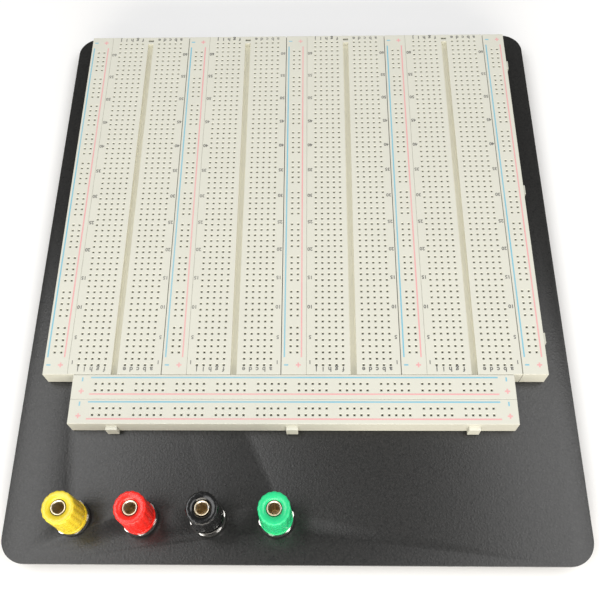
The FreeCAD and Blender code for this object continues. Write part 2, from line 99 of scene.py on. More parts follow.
TERMINAL_Y = [(row - (TERMINAL_ROWS - 1) / 2) * GRID for row in range(TERMINAL_ROWS)]
TERMINAL_SIDE = [HALF_GAP + column * GRID for column in range(CLIP_HOLES)]
TERMINAL_X = [-x for x in reversed(TERMINAL_SIDE)] + TERMINAL_SIDE
BUS_COUNT = (BUS_GROUPS - 1) * GROUP_STEP + CLIP_HOLES
BUS_Y = [
    (place - (BUS_COUNT - 1) / 2) * GRID
    for place in range(BUS_COUNT)
    if place % GROUP_STEP < CLIP_HOLES
]
BUS_X = [-GRID / 2, GRID / 2]

# Section of one spring leaf: distance from the middle of the clip, and height.
LEAF = [(0.6, 6.05), (0.6, 5.85), (0.06, 5.6), (0.06, 5.75)]
LEAF_HALF = 0.85

# Printing.
INK_THICK = 0.02
INK_SINK = 0.01
LINE_WIDTH = 0.54
BLUE_X = -3.6
RED_X = 2.85
LINE_HALF = 76.0
SIGN_Y = 79.1
BUS_PRINT_SHIFT = 0.3
MINUS_X = -2.9
PLUS_X = 1.7
SIGN_BAR = 0.55
MINUS_LENGTH = 1.6
PLUS_LENGTH = 1.9
LETTERS = "jihgfedcba"
LETTER_SIZE = 2.6
NUMBER_SIZE = 2.1
# For the near and the far end of a strip: how far the letters stand beyond the last row of holes.
LETTER_DROPS = ((-1, 1.7), (1, 2.2))
# Thickening of the strokes, as a share of the letter's size.
LETTER_BOLD = 0.028
NUMBER_SIDE = 2.4
NUMBER_SHIFT = 1.1
NUMBERED_ROWS = [1] + list(range(5, 61, 5))

# Caps of the binding posts.
CAP_FOOT = 5.95
CAP_NECK = 5.45
CAP_BARREL = 5.75
CAP_TOP = 5.65
CAP_HEIGHT = 17.8
CAP_MOUTH = 3.25
CAP_BORE = 2.8
CAP_EDGE = 0.15
SHOULDER_DROP = 0.1
SHOULDER_SHARE = 0.4
MOUTH_FLARE = 0.12
MOUTH_EDGE = 0.1
INSERT_RADIUS = 4.25
INSERT_TOP = 8.72
RECESS_RADIUS = 5.15
RECESS_DEPTH = 0.9
NECK_LOW = 2.0
NECK_HIGH = 2.5
TOP_ROUND = 0.6
FLUTES = 16
FLUTE_DEPTH = 0.16
FLUTE_HALF = 0.55
STEPS_PER_FLUTE = 14

# Faces within this distance of a post's axis and above this height lie in its socket.
SOCKET_REACH = 2.05
SOCKET_LOW = 12.5

# CAD nodes that are redrawn with softened edges: finish, bevel and bevel segments.
SOFTENED = {
    "base_plate": ("plate", 0.3, 3),
    "rubber_feet": ("rubber", 0.5, 3),
    "lower_insulators": ("insulator", 0.15, 2),
    "solder_tags": ("tag", 0.08, 2),
    "lock_washers": ("zinc", 0.1, 2),
    "post_nuts": ("zinc", 0.12, 2),
}
COLLAR_BEVEL = 0.15
POST_BEVEL = 0.12
WELD_DISTANCE = 0.002
FLAT_ANGLE = 1
BEVEL_ANGLE = 35
SMOOTH_ANGLE = 28
CAP_SMOOTH_ANGLE = 40

FLOOR_HALF = 1500
FLOOR_THICK = 20

# Colours, linear.
STRIP_COLOUR = (0.685, 0.683, 0.603)
# Painted light: the middle channel wears the strip plastic painted paler and warmer, standing in for
# light that comes through the thin plastic around it.
CHANNEL_PAINTED_LIGHT = (0.78, 0.763, 0.648)
CAP_COLOURS = {
    "yellow": (0.90, 0.70, 0.035),
    "red": (0.97, 0.022, 0.012),
    "black": (0.005, 0.005, 0.0052),
    "green": (0.022, 0.70, 0.27),
}

# Stretch of the marks on metal: rings around an upright part, or lines along its x axis.
RINGS = (1, 1, 14)
CLOSE_RINGS = (1, 1, 30)
LINES = (1, 20, 1)
CLOSE_LINES = (1, 30, 1)


# ---------------------------------------------------------------- materials


class Nodes:
    """Builds one node material."""

    def __init__(self, name):
        self.material = bpy.data.materials.new(name)
        self.material.use_nodes = True
        self.tree = self.material.node_tree
        self.shader = self.tree.nodes["Principled BSDF"]
        self.place = self.add("ShaderNodeTexCoord").outputs["Object"]

    def add(self, kind, **settings):
        node = self.tree.nodes.new(kind)
        for key, value in settings.items():
            setattr(node, key, value)
        return node

    def link(self, start, end):
        self.tree.links.new(start, end)

    def noise(self, scale, detail=3.0, roughness=0.5, stretch=None):
        node = self.add("ShaderNodeTexNoise")
        node.inputs["Scale"].default_value = scale
        node.inputs["Detail"].default_value = detail
        node.inputs["Roughness"].default_value = roughness
        place = self.place
        if stretch:
            mapping = self.add("ShaderNodeMapping")
            mapping.inputs["Scale"].default_value = stretch
            self.link(place, mapping.inputs["Vector"])
            place = mapping.outputs["Vector"]
        self.link(place, node.inputs["Vector"])
        return node.outputs["Fac"]

    def cells(self, scale, feature="F1"):
        node = self.add("ShaderNodeTexVoronoi", feature=feature)
        node.inputs["Scale"].default_value = scale
        self.link(self.place, node.inputs["Vector"])
        return node.outputs["Distance"]

    def spread(self, value, low, high, start=0.3, end=0.7):
        """Maps start..end of a value to low..high."""
        node = self.add("ShaderNodeMapRange")
        node.inputs["From Min"].default_value = start
        node.inputs["From Max"].default_value = end
        node.inputs["To Min"].default_value = low
        node.inputs["To Max"].default_value = high
        self.link(value, node.inputs["Value"])
        return node.outputs["Result"]

    def blend(self, factor, first, second):
        node = self.add("ShaderNodeMix", data_type="RGBA")
        self.link(factor, node.inputs["Factor"])
        node.inputs["A"].default_value = (*first, 1)
        if isinstance(second, tuple):
            node.inputs["B"].default_value = (*second, 1)
        else:
            self.link(second, node.inputs["B"])
        return node.outputs["Result"]

    def bump(self, height, distance):
        """Adds a bump of this many metres on top of the earlier ones."""
        node = self.add("ShaderNodeBump")
        node.inputs["Distance"].default_value = distance
        node.inputs["Strength"].default_value = 1.0
        previous = self.shader.inputs["Normal"].links
        if previous:
            self.link(previous[0].from_socket, node.inputs["Normal"])
        self.link(height, node.inputs["Height"])
        self.link(node.outputs["Normal"], self.shader.inputs["Normal"])

    def colour(self, output):
        self.link(output, self.shader.inputs["Base Color"])

    def roughness(self, output):
        self.link(output, self.shader.inputs["Roughness"])

    def set(self, **values):
        for key, value in values.items():
            self.shader.inputs[key.replace("_", " ")].default_value = value


def shade(colour, factor):
    return tuple(channel * factor for channel in colour)


def make_plastic(name, colour, dark, rough, grain, depth, **sockets):
    """Moulded plastic: slight flow marks in the colour and a fine spark-eroded grain."""
    mat = Nodes(name)
    mat.colour(mat.blend(mat.spread(mat.noise(60), 0, 1), colour, shade(colour, dark)))
    mat.roughness(mat.spread(mat.noise(900, 4), rough - 0.06, rough + 0.06))
    mat.bump(mat.noise(grain, 4), depth)
    mat.set(**sockets)
    return mat.material


def make_metal(name, colour, dark, rough, marks, depth, stretch):
    """Plated or bare metal with machining marks along one direction and small stains."""
    mat = Nodes(name)
    stains = mat.spread(mat.noise(450, 4), 0, 1, 0.4, 0.75)
    mat.colour(mat.blend(stains, colour, shade(colour, dark)))
    mat.roughness(mat.spread(mat.noise(700, 4), rough - 0.05, rough + 0.08))
    mat.bump(mat.noise(marks, 4, 0.6, stretch), depth)
    mat.set(Metallic=1.0)
    return mat.material


def make_plate_coat():
    """Black powder coat with a fine leather wrinkle on sheet metal."""
    mat = Nodes("plate_coat")
    wrinkle = mat.cells(1500, "SMOOTH_F1")
    # Painted light and shade: the coat is painted lighter in the middles of the wrinkle cells and
    # darker along their borders.
    painted_wrinkle_light, painted_wrinkle_shade = (0.020, 0.0195, 0.0185), (0.008, 0.008, 0.0076)
    mat.colour(mat.blend(mat.spread(wrinkle, 0, 1, 0.1, 0.7), painted_wrinkle_light, painted_wrinkle_shade))
    mat.roughness(mat.spread(mat.noise(1400, 4), 0.27, 0.34))
    mat.bump(mat.noise(1900, 2, 0.5), 0.00002)
    mat.bump(wrinkle, 0.00003)
    mat.set(Specular_IOR_Level=0.5)
    return mat.material


def make_foam_material():
    """Pale foam tape with open pores."""
    mat = Nodes("foam_tape")
    pores = mat.cells(2600)
    # Painted shade: the pores are painted darker than the foam's skin, as shade inside the pits.
    painted_pore_shade, skin = (0.55, 0.53, 0.47), (0.78, 0.76, 0.70)
    mat.colour(mat.blend(mat.spread(pores, 0, 1, 0.0, 0.6), painted_pore_shade, skin))
    mat.roughness(mat.spread(mat.noise(800), 0.85, 0.98))
    mat.bump(pores, 0.00015)
    return mat.material


def make_ink(name, colour, pale):
    """Thin pad-printed ink that lets some of the plastic through."""
    mat = Nodes(name)
    ink = mat.blend(mat.spread(mat.noise(2500, 4), 0, 1, 0.45, 0.8), colour, pale)
    cover = mat.spread(mat.noise(24, 2), 0.78, 1, 0.38, 0.6)
    mat.colour(mat.blend(cover, STRIP_COLOUR, ink))
    mat.roughness(mat.spread(mat.noise(900), 0.4, 0.55))
    mat.bump(mat.noise(4000, 3), 0.000004)
    return mat.material


PLASTICS = (
    # key, material name, colour, darkest shade, roughness, grain, grain depth
    ("strip_plastic", "strip_plastic", STRIP_COLOUR, 0.97, 0.48, 3000, 0.000006),
    # The same strip plastic painted paler: painted light in the middle channel.
    ("channel", "channel_plastic", CHANNEL_PAINTED_LIGHT, 0.97, 0.48, 3000, 0.000006),
    ("rubber", "foot_rubber", (0.028, 0.028, 0.027), 0.75, 0.78, 1500, 0.00003),
    ("insulator", "insulator_plastic", (0.022, 0.022, 0.021), 0.8, 0.42, 2200, 0.00001),
)
METALS = (
    # key, material name, colour, darkest shade, roughness, marks, mark depth, stretch
    ("contact", "contact_metal", (0.82, 0.81, 0.77), 0.8, 0.32, 700, 0.00001, CLOSE_LINES),
    ("post", "post_metal", (0.74, 0.715, 0.665), 0.82, 0.24, 900, 0.000006, RINGS),
    # The socket's brass is partly its own colour and partly painted light: it is paler than the
    # inserts' brass so that the deep bore looks lit.
    ("socket", "socket_brass", (0.86, 0.74, 0.54), 0.75, 0.45, 900, 0.00001, CLOSE_RINGS),
    ("insert", "insert_brass", (0.72, 0.52, 0.24), 0.75, 0.28, 900, 0.00001, RINGS),
    ("tag", "tag_metal", (0.74, 0.73, 0.69), 0.8, 0.3, 900, 0.00001, LINES),
    ("zinc", "fastener_zinc", (0.68, 0.69, 0.70), 0.78, 0.34, 800, 0.00001, RINGS),
)
INKS = (
    # material name, full colour, worn colour
    ("print_blue", (0.18, 0.49, 0.64), (0.27, 0.53, 0.635)),
    ("print_red", (0.79, 0.37, 0.385), (0.78, 0.45, 0.44)),
    ("print_grey", (0.10, 0.10, 0.096), (0.22, 0.215, 0.20)),
)
materials = {"foam": make_foam_material(), "plate": make_plate_coat()}
materials.update((key, make_plastic(*looks)) for key, *looks in PLASTICS)
materials.update((key, make_metal(*looks)) for key, *looks in METALS)
materials.update((looks[0], make_ink(*looks)) for looks in INKS)
for colour_name, cap_colour in CAP_COLOURS.items():
    is_black = colour_name == "black"
    materials[colour_name + "_cap"] = make_plastic(
        name=colour_name + "_cap_plastic",
        colour=cap_colour,
        dark=0.88,
        rough=0.18 if is_black else 0.27,
        grain=1300,
        depth=0.000004,
        Subsurface_Weight=0.0 if is_black else 0.12,
        Subsurface_Radius=(0.0012, 0.0008, 0.0005),
        Coat_Weight=0.1,
        Coat_Roughness=0.12,
    )


# ---------------------------------------------------------------- mesh helpers


def new_piece(name, mesh, slot, *finishes, body=BODY, replaced=()):
    """Links a mesh as a piece that rides on a body and wears the given materials."""
    piece = bpy.data.objects.new(name, mesh)
    bpy.context.scene.collection.objects.link(piece)
    if mesh.materials:
        mesh.materials.clear()
    for finish in finishes:
        mesh.materials.append(materials[finish])
    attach(piece, body)
    if replaced:
        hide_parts(*replaced)
    return piece


def baked(item):
    """The mesh of an object with its modifiers applied; the object is removed."""
    graph = bpy.context.evaluated_depsgraph_get()
    graph.update()
    mesh = bpy.data.meshes.new_from_object(item.evaluated_get(graph), depsgraph=graph)
    bpy.data.objects.remove(item)
    return mesh


def smooth_by_angle(mesh, degrees):
    mesh.polygons.foreach_set("use_smooth", [True] * len(mesh.polygons))
    mesh.set_sharp_from_angle(angle=math.radians(degrees))


def cell_mesh(name, lines, filled, shape):
    """A closed skin around the filled cells of a grid of lines; shape moves its corners."""
    padded = np.pad(filled, 1).astype(np.int8)
    quads = []
    for axis in range(3):
        first, second = (axis + 1) % 3, (axis + 2) % 3
        change = np.diff(padded, axis=axis)
        for sign in (1, -1):
            cells = np.argwhere(change == sign)
            cells[:, first] -= 1
            cells[:, second] -= 1
            corners = np.repeat(cells[:, None, :], 4, axis=1)
            corners[:, (1, 2), first] += 1
            corners[:, (2, 3), second] += 1
            quads.append(corners if sign < 0 else corners[:, ::-1])
    quads = np.concatenate(quads)
    points, index = np.unique(quads.reshape(-1, 3), axis=0, return_inverse=True)
    places = np.stack([lines[axis][points[:, axis]] for axis in range(3)], axis=1)
    mesh = bpy.data.meshes.new(name)
    mesh.from_pydata(shape(places) * MM, [], index.reshape(-1, 4).tolist())
    mesh.validate()
    return mesh


def near(values, centres, half):
    """Whether each value lies within half of one of the centres."""
    return np.min(np.abs(values[:, None] - np.array(centres)[None, :]), axis=1) < half


def sorted_lines(*groups):
    return np.unique(np.round(np.concatenate([np.ravel(group) for group in groups]), 4))


def middles(lines):
    return (lines[1:] + lines[:-1]) / 2


def around(centres, half):
    """The two edges around each centre."""
    return np.array([[centre - half, centre + half] for centre in centres])


def strip_shape(width, columns, rows):
    """Lead-in chamfers at the wire holes and a rounded edge around the top of a strip."""

    def move(places):
        places = places.copy()
        rise = places[:, 2] - (STRIP_HEIGHT - EDGE_ROUND)
        offsets = []
        rim = rise > FINE_SLACK
        for axis, centres in ((0, np.array(columns)), (1, np.array(rows))):
            nearest = np.argmin(np.abs(places[:, axis, None] - centres), axis=1)
            offset = places[:, axis] - centres[nearest]
            offsets.append(offset)
            rim = rim & (np.abs(np.abs(offset) - HOLE / 2) < FINE_SLACK)
        for axis in (0, 1):
            lead = rise[rim] * HOLE_LEAD / EDGE_ROUND
            places[rim, axis] += np.sign(offsets[axis][rim]) * lead
        height_left = EDGE_ROUND**2 - np.maximum(rise, 0) ** 2
        inset = EDGE_ROUND - np.sqrt(np.maximum(height_left, 0))
        for axis, half in ((0, width / 2), (1, STRIP_LENGTH / 2)):
            edge = np.abs(np.abs(places[:, axis]) - half) < FINE_SLACK
            places[edge, axis] -= np.sign(places[edge, axis]) * inset[edge]
        return places

    return move


LEVELS = [0, STRIP_HEIGHT - EDGE_ROUND, STRIP_HEIGHT - EDGE_LEVEL, STRIP_HEIGHT]


def grid_mask(x, y, z):
    """Cells whose x, y and z are all chosen."""
    return x[:, None, None] & y[None, :, None] & z[None, None, :]


def terminal_mesh():
    """Moulded terminal strip with its wire holes, contact cavities, channel and end slot."""
    cavity_low = HALF_GAP - CAVITY_MARGIN
    cavity_high = TERMINAL_SIDE[-1] + CAVITY_MARGIN
    channel_floor = STRIP_HEIGHT - CHANNEL_DEPTH
    channel_end = STRIP_LENGTH / 2 - CHANNEL_STOP
    slot_high = STRIP_LENGTH / 2 - END_SLOT_OFFSET
    slot_low = slot_high - END_SLOT_DEPTH
    xs = sorted_lines(
        around([0], TERMINAL_WIDTH / 2),
        around([0], CHANNEL_WIDTH / 2),
        around([0], cavity_low),
        around([0], cavity_high),
        around(TERMINAL_X, HOLE / 2),
    )
    ys = sorted_lines(
        around([0], STRIP_LENGTH / 2),
        [channel_end, slot_low, slot_high],
        around(TERMINAL_Y, HOLE / 2),
        around(TERMINAL_Y, CAVITY_WIDTH / 2),
    )
    zs = sorted_lines(LEVELS, [channel_floor, CAVITY_HEIGHT])
    x, y, z = middles(xs), middles(ys), middles(zs)
    any_z = np.full(len(z), True)
    in_clip = (np.abs(x) > cavity_low) & (np.abs(x) < cavity_high)
    in_gap = np.abs(x) < CHANNEL_WIDTH / 2
    hole_rows = near(y, TERMINAL_Y, HOLE / 2)
    cavity_rows = near(y, TERMINAL_Y, CAVITY_WIDTH / 2)
    empty = grid_mask(near(x, TERMINAL_X, HOLE / 2), hole_rows, z > CAVITY_HEIGHT)
    empty |= grid_mask(in_clip, cavity_rows, z < CAVITY_HEIGHT)
    empty |= grid_mask(in_gap, y < channel_end, z > channel_floor)
    empty |= grid_mask(in_gap, (y > slot_low) & (y < slot_high), any_z)
    shape = strip_shape(TERMINAL_WIDTH, TERMINAL_X, TERMINAL_Y)
    return cell_mesh("terminal_strip", (xs, ys, zs), ~empty, shape)


def bus_mesh():
    """Moulded bus strip with two columns of holes over two long cavities."""
    cavity_end = BUS_Y[-1] + CAVITY_MARGIN
    xs = sorted_lines(
        around([0], BUS_WIDTH / 2),
        around(BUS_X, HOLE / 2),
        around(BUS_X, CAVITY_WIDTH / 2),
    )
    ys = sorted_lines(
        around([0], STRIP_LENGTH / 2),
        around([0], cavity_end),
        around(BUS_Y, HOLE / 2),
    )
    zs = sorted_lines(LEVELS, [CAVITY_HEIGHT])
    x, y, z = middles(xs), middles(ys), middles(zs)
    hole_rows = near(y, BUS_Y, HOLE / 2)
    empty = grid_mask(near(x, BUS_X, HOLE / 2), hole_rows, z > CAVITY_HEIGHT)
    in_rail = near(x, BUS_X, CAVITY_WIDTH / 2)
    empty |= grid_mask(in_rail, np.abs(y) < cavity_end, z < CAVITY_HEIGHT)
    return cell_mesh("bus_strip", (xs, ys, zs), ~empty, strip_shape(BUS_WIDTH, BUS_X, BUS_Y))


def prism_mesh(name, outline, low, high):
    """An upright prism from a list of corners, anticlockwise from above."""
    count = len(outline)
    points = [(x * MM, y * MM, z * MM) for z in (low, high) for x, y in outline]
    faces = [tuple(reversed(range(count))), tuple(range(count, 2 * count))]
    for index in range(count):
        after = (index + 1) % count
        faces.append((index, after, after + count, index + count))
    mesh = bpy.data.meshes.new(name)
    mesh.from_pydata(points, [], faces)
    return mesh


def dovetails(side_x, play, back):
    """Three dovetail prisms on a long side, which also reach back through it."""
    top = STRIP_HEIGHT - KEY_TOP_DROP + play
    root, tip, reach = KEY_ROOT / 2 + play, KEY_TIP / 2 + play, KEY_REACH + play
    meshes = []
    for place in (-1, 0, 1):
        y = place * KEY_SPACING
        outline = [
            (side_x - back, y - root),
            (side_x, y - root),
            (side_x + reach, y - tip),
            (side_x + reach, y + tip),
            (side_x, y + root),
            (side_x - back, y + root),
        ]
        meshes.append(prism_mesh("dovetail", outline, -play, top))
    return meshes


def with_keys(mesh, width):
    """Adds the dovetail keys on one long side and cuts the seats on the other."""
    body = bpy.data.objects.new("strip_blank", mesh)
    bpy.context.scene.collection.objects.link(body)
    helpers = []
    steps = (("UNION", width / 2, 0, KEY_BACK), ("DIFFERENCE", -width / 2, KEY_PLAY, SEAT_BACK))
    for operation, side_x, play, back in steps:
        for tool_mesh in dovetails(side_x, play, back):
            tool = bpy.data.objects.new("dovetail", tool_mesh)
            bpy.context.scene.collection.objects.link(tool)
            tool.hide_render = True
            helpers.append(tool)
            if operation == "UNION":
                bevel = tool.modifiers.new("edge", "BEVEL")
                bevel.width = KEY_BEVEL * MM
                bevel.segments = 2
            modifier = body.modifiers.new("join", "BOOLEAN")
            modifier.operation = operation
            modifier.solver = "EXACT"
            modifier.object = tool
    result = baked(body)
    for tool in helpers:
        bpy.data.objects.remove(tool)
    return result


def strip_place(node, width):
    """Where a strip's local frame lies, from its CAD box: its keys stick out of one long side."""
    low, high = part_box(node)
    half = width * MM / 2
    if high.y - low.y > high.x - low.x:
        return Matrix.Translation((low.x + half, (low.y + high.y) / 2, low.z))
    turn = Matrix.Rotation(math.radians(-90), 4, "Z")
    return Matrix.Translation(((low.x + high.x) / 2, high.y - half, low.z)) @ turn


def placed_mesh(master, name, place):
    mesh = master.copy()
    mesh.name = name
    mesh.transform(place)
    return mesh


# ---------------------------------------------------------------- strips

TERMINAL_NODES = [name for name in sorted(frame["nodes"]) if name.startswith("terminal_strip_")]
BUS_NODES = [name for name in sorted(frame["nodes"]) if "bus_strip_" in name]


def colour_channel(mesh):
    """Gives the long walls and the floor of the middle channel the second material, the strip
    plastic painted paler and warmer as painted light.
    """
    reach = (CHANNEL_WIDTH / 2 + SLACK) * MM
    low = (STRIP_HEIGHT - CHANNEL_DEPTH - SLACK) * MM
    high = (STRIP_HEIGHT - SLACK) * MM
    front = (SLACK - STRIP_LENGTH / 2) * MM
    back = (STRIP_LENGTH / 2 - CHANNEL_STOP - SLACK) * MM
    for face in mesh.polygons:
        x, y, z = face.center
        face.material_index = int(abs(x) < reach and front < y < back and low < z < high)


terminal_master = with_keys(terminal_mesh(), TERMINAL_WIDTH)
colour_channel(terminal_master)
bus_master = with_keys(bus_mesh(), BUS_WIDTH)
for name in TERMINAL_NODES:
    piece_name = name + "_moulding"
    mesh = placed_mesh(terminal_master, piece_name, strip_place(name, TERMINAL_WIDTH))
    new_piece(piece_name, mesh, "strip_plastic", "strip_plastic", "channel", replaced=(name,))
for name in BUS_NODES:
    piece_name = name + "_moulding"
    mesh = placed_mesh(bus_master, piece_name, strip_place(name, BUS_WIDTH))
    new_piece(piece_name, mesh, "strip_plastic", "strip_plastic", replaced=(name,))


# ---------------------------------------------------------------- spring fingers

# The faces of a box whose first four corners are one end and whose last four are the other.
LEAF_FACES = [(0, 1, 2, 3), (7, 6, 5, 4), (0, 4, 5, 1), (1, 5, 6, 2), (2, 6, 7, 3), (3, 7, 4, 0)]


def finger_mesh(name, spots, along_x):
    """Pairs of spring leaves that lean in from a clip's walls and almost meet under a wire hole."""
    points = []
    faces = []
    for x, y in spots:
        for side in (-1, 1):
            start = len(points)
            for along in (-LEAF_HALF, LEAF_HALF):
                for out, height in LEAF:
                    across = side * out
                    place = (x + along, y + across) if along_x else (x + across, y + along)
                    points.append((place[0] * MM, place[1] * MM, height * MM))
            faces.extend([tuple(start + index for index in face) for face in LEAF_FACES])
    mesh = bpy.data.meshes.new(name)
    mesh.from_pydata(points, [], faces)
    work = bmesh.new()
    work.from_mesh(mesh)
    bmesh.ops.recalc_face_normals(work, faces=work.faces)
    work.to_mesh(mesh)
    work.free()
    return mesh


terminal_spots = [(side * x, y) for side in (-1, 1) for x in TERMINAL_SIDE for y in TERMINAL_Y]
bus_spots = [(x, y) for x in BUS_X for y in BUS_Y]
terminal_fingers = finger_mesh("terminal_fingers", terminal_spots, True)
bus_fingers = finger_mesh("bus_fingers", bus_spots, False)
STRIP_KINDS = (
    (TERMINAL_NODES, terminal_fingers, TERMINAL_WIDTH),
    (BUS_NODES, bus_fingers, BUS_WIDTH),
)
for names, master, width in STRIP_KINDS:
    for name in names:
        piece_name = name.replace("_strip_", "_fingers_")
        mesh = placed_mesh(master, piece_name, strip_place(name, width))
        new_piece(piece_name, mesh, "spring_contact", "contact")


# ---------------------------------------------------------------- printing

# The four corners of a rectangle, anticlockwise, and the faces of a box over and under them.
CORNERS = ((-1, -1), (1, -1), (1, 1), (-1, 1))
BOX_FACES = [(3, 2, 1, 0), (4, 5, 6, 7), (0, 1, 5, 4), (1, 2, 6, 5), (2, 3, 7, 6), (3, 0, 4, 7)]


class Ink:
    """Collects printed shapes for one strip."""

    def __init__(self):
        self.points = []
        self.faces = []
        self.inks = []

    def add(self, points, faces, ink):
        start = len(self.points)
        self.points.extend(points)
        self.faces.extend([tuple(start + index for index in face) for face in faces])
        self.inks.extend([ink] * len(faces))

    def bar(self, x, y, width, length, ink):
        corners = [(x + dx * width / 2, y + dy * length / 2) for dx, dy in CORNERS]
        levels = (STRIP_HEIGHT - INK_SINK, STRIP_HEIGHT + INK_THICK)
        points = [(px, py, z) for z in levels for px, py in corners]
        self.add(points, BOX_FACES, ink)

    def glyph(self, text, size, x, y, ink):
        """Text turned half round, as it reads from the other end of the strip."""
        points, faces = text_shape(text, size)
        level = STRIP_HEIGHT + (INK_THICK - INK_SINK) / 2
        self.add([(x - px, y - py, level + pz) for px, py, pz in points], faces, ink)

    def mesh(self, name):
        mesh = bpy.data.meshes.new(name)
        mesh.from_pydata([(x * MM, y * MM, z * MM) for x, y, z in self.points], [], self.faces)
        mesh.polygons.foreach_set("material_index", self.inks)
        return mesh


text_shapes = {}


def text_shape(text, size):
    """Points and faces of a thin solid text, centred, in millimetres."""
    if (text, size) not in text_shapes:
        curve = bpy.data.curves.new("label", "FONT")
        curve.body = text
        curve.size = size
        curve.resolution_u = 3
        curve.offset = size * LETTER_BOLD
        curve.extrude = (INK_THICK + INK_SINK) / 2
        curve.align_x = "CENTER"
        curve.align_y = "CENTER"
        label = bpy.data.objects.new("label", curve)
        bpy.context.scene.collection.objects.link(label)
        mesh = baked(label)
        bpy.data.curves.remove(curve)
        points = [tuple(vertex.co) for vertex in mesh.vertices]
        text_shapes[text, size] = (points, [tuple(face.vertices) for face in mesh.polygons])
        bpy.data.meshes.remove(mesh)
    return text_shapes[text, size]


def terminal_print():
    ink = Ink()
    for end, drop in LETTER_DROPS:
        for letter, x in zip(LETTERS, TERMINAL_X):
            ink.glyph(letter, LETTER_SIZE, x, end * (TERMINAL_Y[-1] + drop), 0)
    for row in NUMBERED_ROWS:
        y = TERMINAL_Y[row - 1] + NUMBER_SHIFT
        for side in (-1, 1):
            x = side * (TERMINAL_SIDE[-1] + NUMBER_SIDE)
            ink.glyph(str(row), NUMBER_SIZE, x, y, 0)
    return ink.mesh("terminal_print")


def bus_print():
    ink = Ink()
    ink.bar(BLUE_X, BUS_PRINT_SHIFT, LINE_WIDTH, LINE_HALF * 2, 0)
    ink.bar(RED_X, BUS_PRINT_SHIFT, LINE_WIDTH, LINE_HALF * 2, 1)
    arm = (PLUS_LENGTH - SIGN_BAR) / 2
    for end in (-1, 1):
        y = BUS_PRINT_SHIFT + end * SIGN_Y
        ink.bar(MINUS_X, y, MINUS_LENGTH, SIGN_BAR, 0)
        ink.bar(PLUS_X, y, PLUS_LENGTH, SIGN_BAR, 1)
        for half in (-1, 1):
            ink.bar(PLUS_X, y + half * (SIGN_BAR + arm) / 2, SIGN_BAR, arm, 1)
    return ink.mesh("bus_print")


terminal_ink = terminal_print()
bus_ink = bus_print()
for name in TERMINAL_NODES:
    mesh = placed_mesh(terminal_ink, name + "_print", strip_place(name, TERMINAL_WIDTH))
    new_piece(name + "_print", mesh, "print_grey", "print_grey")
for name in BUS_NODES:
    mesh = placed_mesh(bus_ink, name + "_print", strip_place(name, BUS_WIDTH))
    new_piece(name + "_print", mesh, "print_blue", "print_blue", "print_red")


# ---------------------------------------------------------------- plate, feet and posts


def refined(node, finish, bevel, segments=2, body=BODY):
    """A copy of a CAD node with softened edges and a finish, in the node's place."""
    source = frame["nodes"][node].data
    mesh = source.copy()
    mesh.name = node + "_detail"
    work = bmesh.new()
    work.from_mesh(mesh)
    bmesh.ops.remove_doubles(work, verts=work.verts, dist=WELD_DISTANCE * MM)
    flat = math.radians(FLAT_ANGLE)
    bmesh.ops.dissolve_limit(work, angle_limit=flat, verts=work.verts, edges=work.edges)
    work.to_mesh(mesh)
    work.free()
    item = bpy.data.objects.new("detail", mesh)
    bpy.context.scene.collection.objects.link(item)
    modifier = item.modifiers.new("edge", "BEVEL")
    modifier.width = bevel * MM
    modifier.segments = segments
    modifier.limit_method = "ANGLE"
    modifier.angle_limit = math.radians(BEVEL_ANGLE)
    result = baked(item)
    result.name = node + "_detail"
    smooth_by_angle(result, SMOOTH_ANGLE)
    parts = frame["record"]["subparts"]
    slot = next(part["material_slot"] for part in parts if part["node"] == node)
    return new_piece(node + "_detail", result, slot, finish, body=body, replaced=(node,))


def cap_profile():
    """Radius, height and share of the fluting at each corner of a cap's closed section."""
    profile = [(RECESS_RADIUS, 0, 0), (CAP_FOOT - CAP_EDGE, 0, 0), (CAP_FOOT, CAP_EDGE, 0)]
    profile += [(CAP_FOOT, NECK_LOW - CAP_EDGE, 0), (CAP_FOOT - CAP_EDGE, NECK_LOW, 0)]
    profile += [(CAP_NECK, NECK_LOW, 0), (CAP_NECK, NECK_HIGH, 0)]
    profile += [(CAP_BARREL - SHOULDER_DROP, NECK_HIGH, SHOULDER_SHARE)]
    profile += [(CAP_BARREL, NECK_HIGH + CAP_EDGE, 1)]
    for share in (0.25, 0.5, 0.75):
        rise = NECK_HIGH + share * (CAP_HEIGHT - TOP_ROUND - NECK_HIGH)
        profile.append((CAP_BARREL + share * (CAP_TOP - CAP_BARREL), rise, 1))
    for angle in (0, 22.5, 45, 67.5, 90):
        across, up = math.cos(math.radians(angle)), math.sin(math.radians(angle))
        radius = CAP_TOP - TOP_ROUND * (1 - across)
        profile.append((radius, CAP_HEIGHT - TOP_ROUND * (1 - up), across**0.5))
    profile += [(CAP_MOUTH + MOUTH_FLARE, CAP_HEIGHT, 0), (CAP_MOUTH, CAP_HEIGHT - MOUTH_EDGE, 0)]
    profile += [(CAP_BORE, CAP_HEIGHT - TOP_ROUND, 0), (CAP_BORE, INSERT_TOP, 0)]
    profile += [(INSERT_RADIUS, INSERT_TOP, 0), (INSERT_RADIUS, RECESS_DEPTH, 0)]
    profile += [(RECESS_RADIUS, RECESS_DEPTH, 0)]
    return profile


